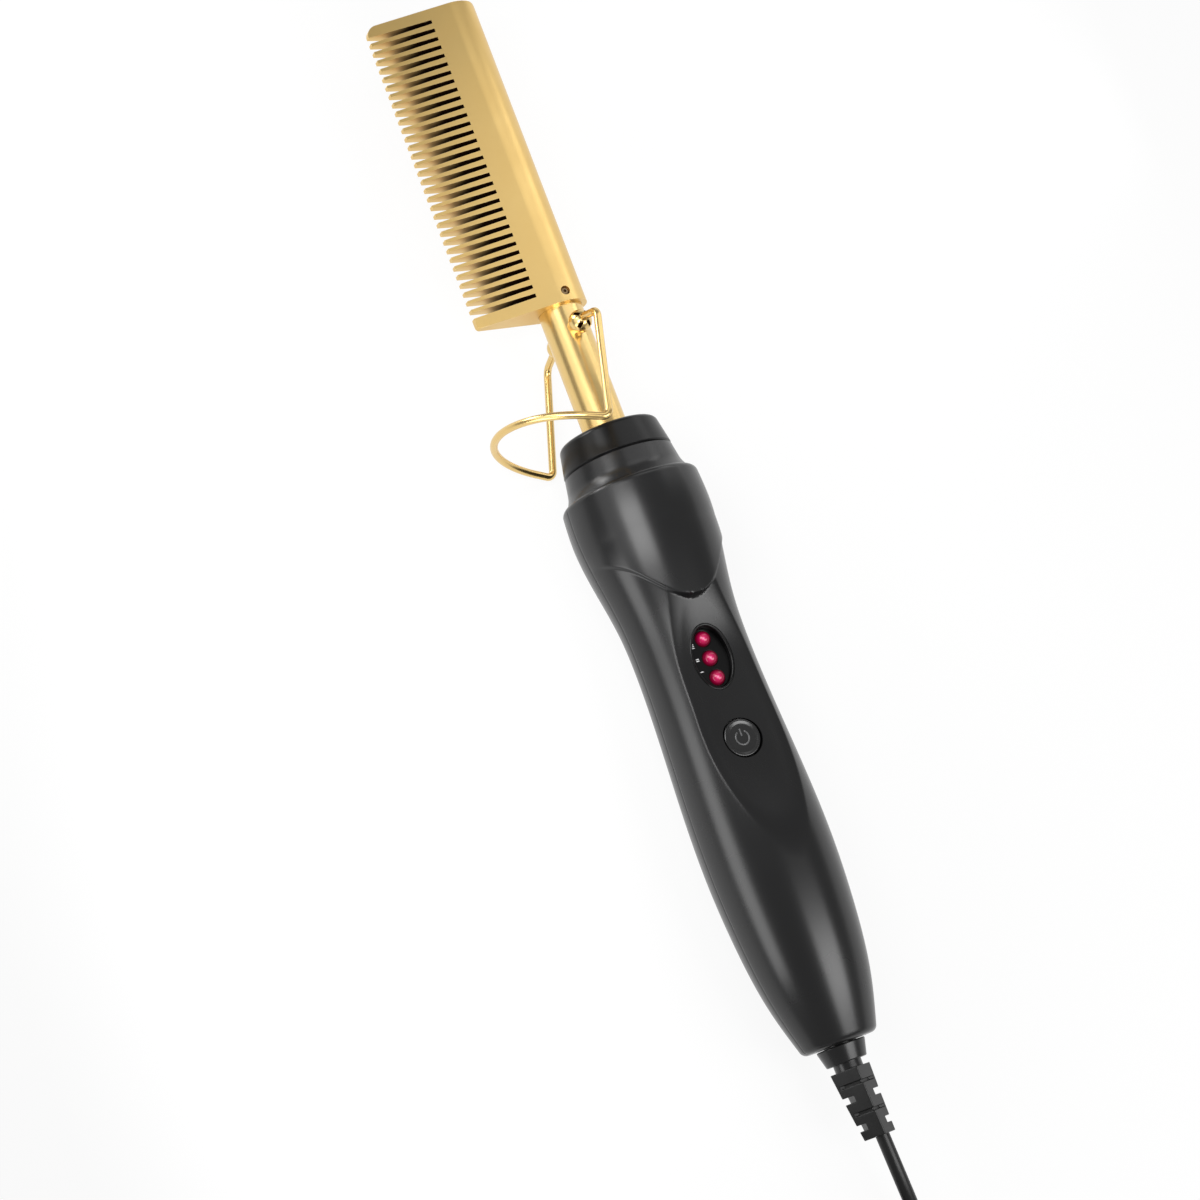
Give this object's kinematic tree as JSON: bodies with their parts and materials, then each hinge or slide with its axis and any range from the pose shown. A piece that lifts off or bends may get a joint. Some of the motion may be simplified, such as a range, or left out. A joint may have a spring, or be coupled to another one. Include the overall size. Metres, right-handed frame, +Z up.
{
  "type": "hot comb",
  "caption": "Electric hot comb: wedge-shaped metal comb on a heated shaft, waisted handle with thumb rest, power button, indicator lamps, wire stand and swivel cord.",
  "frame": {"origin": "on the table, under the middle of the tool without its cord", "axes": "+X to the comb's far end, +Y the way the teeth point, +Z up from the table that the tool lies on with its back belly and the back leg of its wire stand"},
  "size_m": [0.4161, 0.0685, 0.0425],
  "materials": {
    "gold_aluminium": "satin gold coating",
    "gold_steel": "satin gold coating",
    "bare_aluminium": "mill finish",
    "screw_steel": "plain",
    "spring_steel": "plain",
    "nickel_steel": "nickel plated",
    "brass": "plain",
    "ceramic": "unglazed ceramic",
    "heater_ceramic": "fired ceramic with metallised faces",
    "lead_insulation": "braided glass sleeve",
    "sensor_glass": "glass bead",
    "charcoal_plastic": "satin charcoal",
    "black_gloss_plastic": "polished black",
    "black_satin_plastic": "satin black",
    "red_lens": "clear red, lit",
    "board_laminate": "green solder mask",
    "component_black": "moulded",
    "film_capacitor": "dipped",
    "capacitor_sleeve": "shrink sleeve",
    "resistor_body": "cement",
    "terminal_green": "moulded",
    "black_rubber": "soft satin"
  },
  "bodies": {
    "tool": {"back_shell": "charcoal_plastic", "board_screws": "screw_steel", "brush_contacts": "brass", "circuit_board": "board_laminate", "comb_head": "gold_aluminium", "controller_chip": "component_black", "cord_coil": "black_rubber", "cord_tail": "black_rubber", "cord_tie": "black_satin_plastic", "dropper_resistor": "resistor_body", "electrolytic_capacitor": "capacitor_sleeve", "film_capacitor": "film_capacitor", "front_shell": "charcoal_plastic", "head_set_screw": "screw_steel", "heater_electrode_spine": "bare_aluminium", "heater_electrode_teeth": "bare_aluminium", "heater_leads": "lead_insulation", "heater_sleeve": "ceramic", "heater_tablets": "heater_ceramic", "indicator_bezel": "black_gloss_plastic", "indicator_panel": "black_gloss_plastic", "led_high": "red_lens", "led_low": "red_lens", "led_mid": "red_lens", "neck_collar": "charcoal_plastic", "nose_cap": "black_gloss_plastic", "plug_body": "black_rubber", "plug_pins": "nickel_steel", "power_cord": "black_rubber", "shaft_bushing": "ceramic", "shaft_tube": "gold_steel", "shell_screws": "screw_steel", "stand_lug_back": "gold_steel", "stand_lug_front": "gold_steel", "tact_switch": "component_black", "terminal_block": "terminal_green", "thermal_fuse": "screw_steel", "thermistor": "sensor_glass", "triac": "component_black"},
    "stand": {"stand_wire": "gold_steel"},
    "button": {"power_button": "black_satin_plastic", "switch_plunger": "component_black"},
    "swivel": {"swivel_cone": "charcoal_plastic", "swivel_retainer": "spring_steel", "slip_ring_rear": "brass", "slip_ring_front": "brass", "strain_relief": "black_rubber"}
  },
  "joints": [
    {"name": "stand_pivot", "type": "hinge", "parent": "tool", "child": "stand", "pos_m": [0.05812, -0.00527, 0.01945], "axis": [-0.0238, -0.2802, 0.9596], "range_deg": [-83, 27]},
    {"name": "power_button_press", "type": "slide", "parent": "tool", "child": "button", "axis": [0.0238, 0.2802, -0.9596], "range_m": [0, 0.0005], "stiffness_N_per_m": 1500, "springref_m": -0.0005},
    {"name": "cord_swivel", "type": "hinge", "parent": "tool", "child": "swivel", "pos_m": [-0.12383, -0.00527, 0.01494], "axis": [0.9997, 0, 0.0248], "continuous": true}
  ]
}
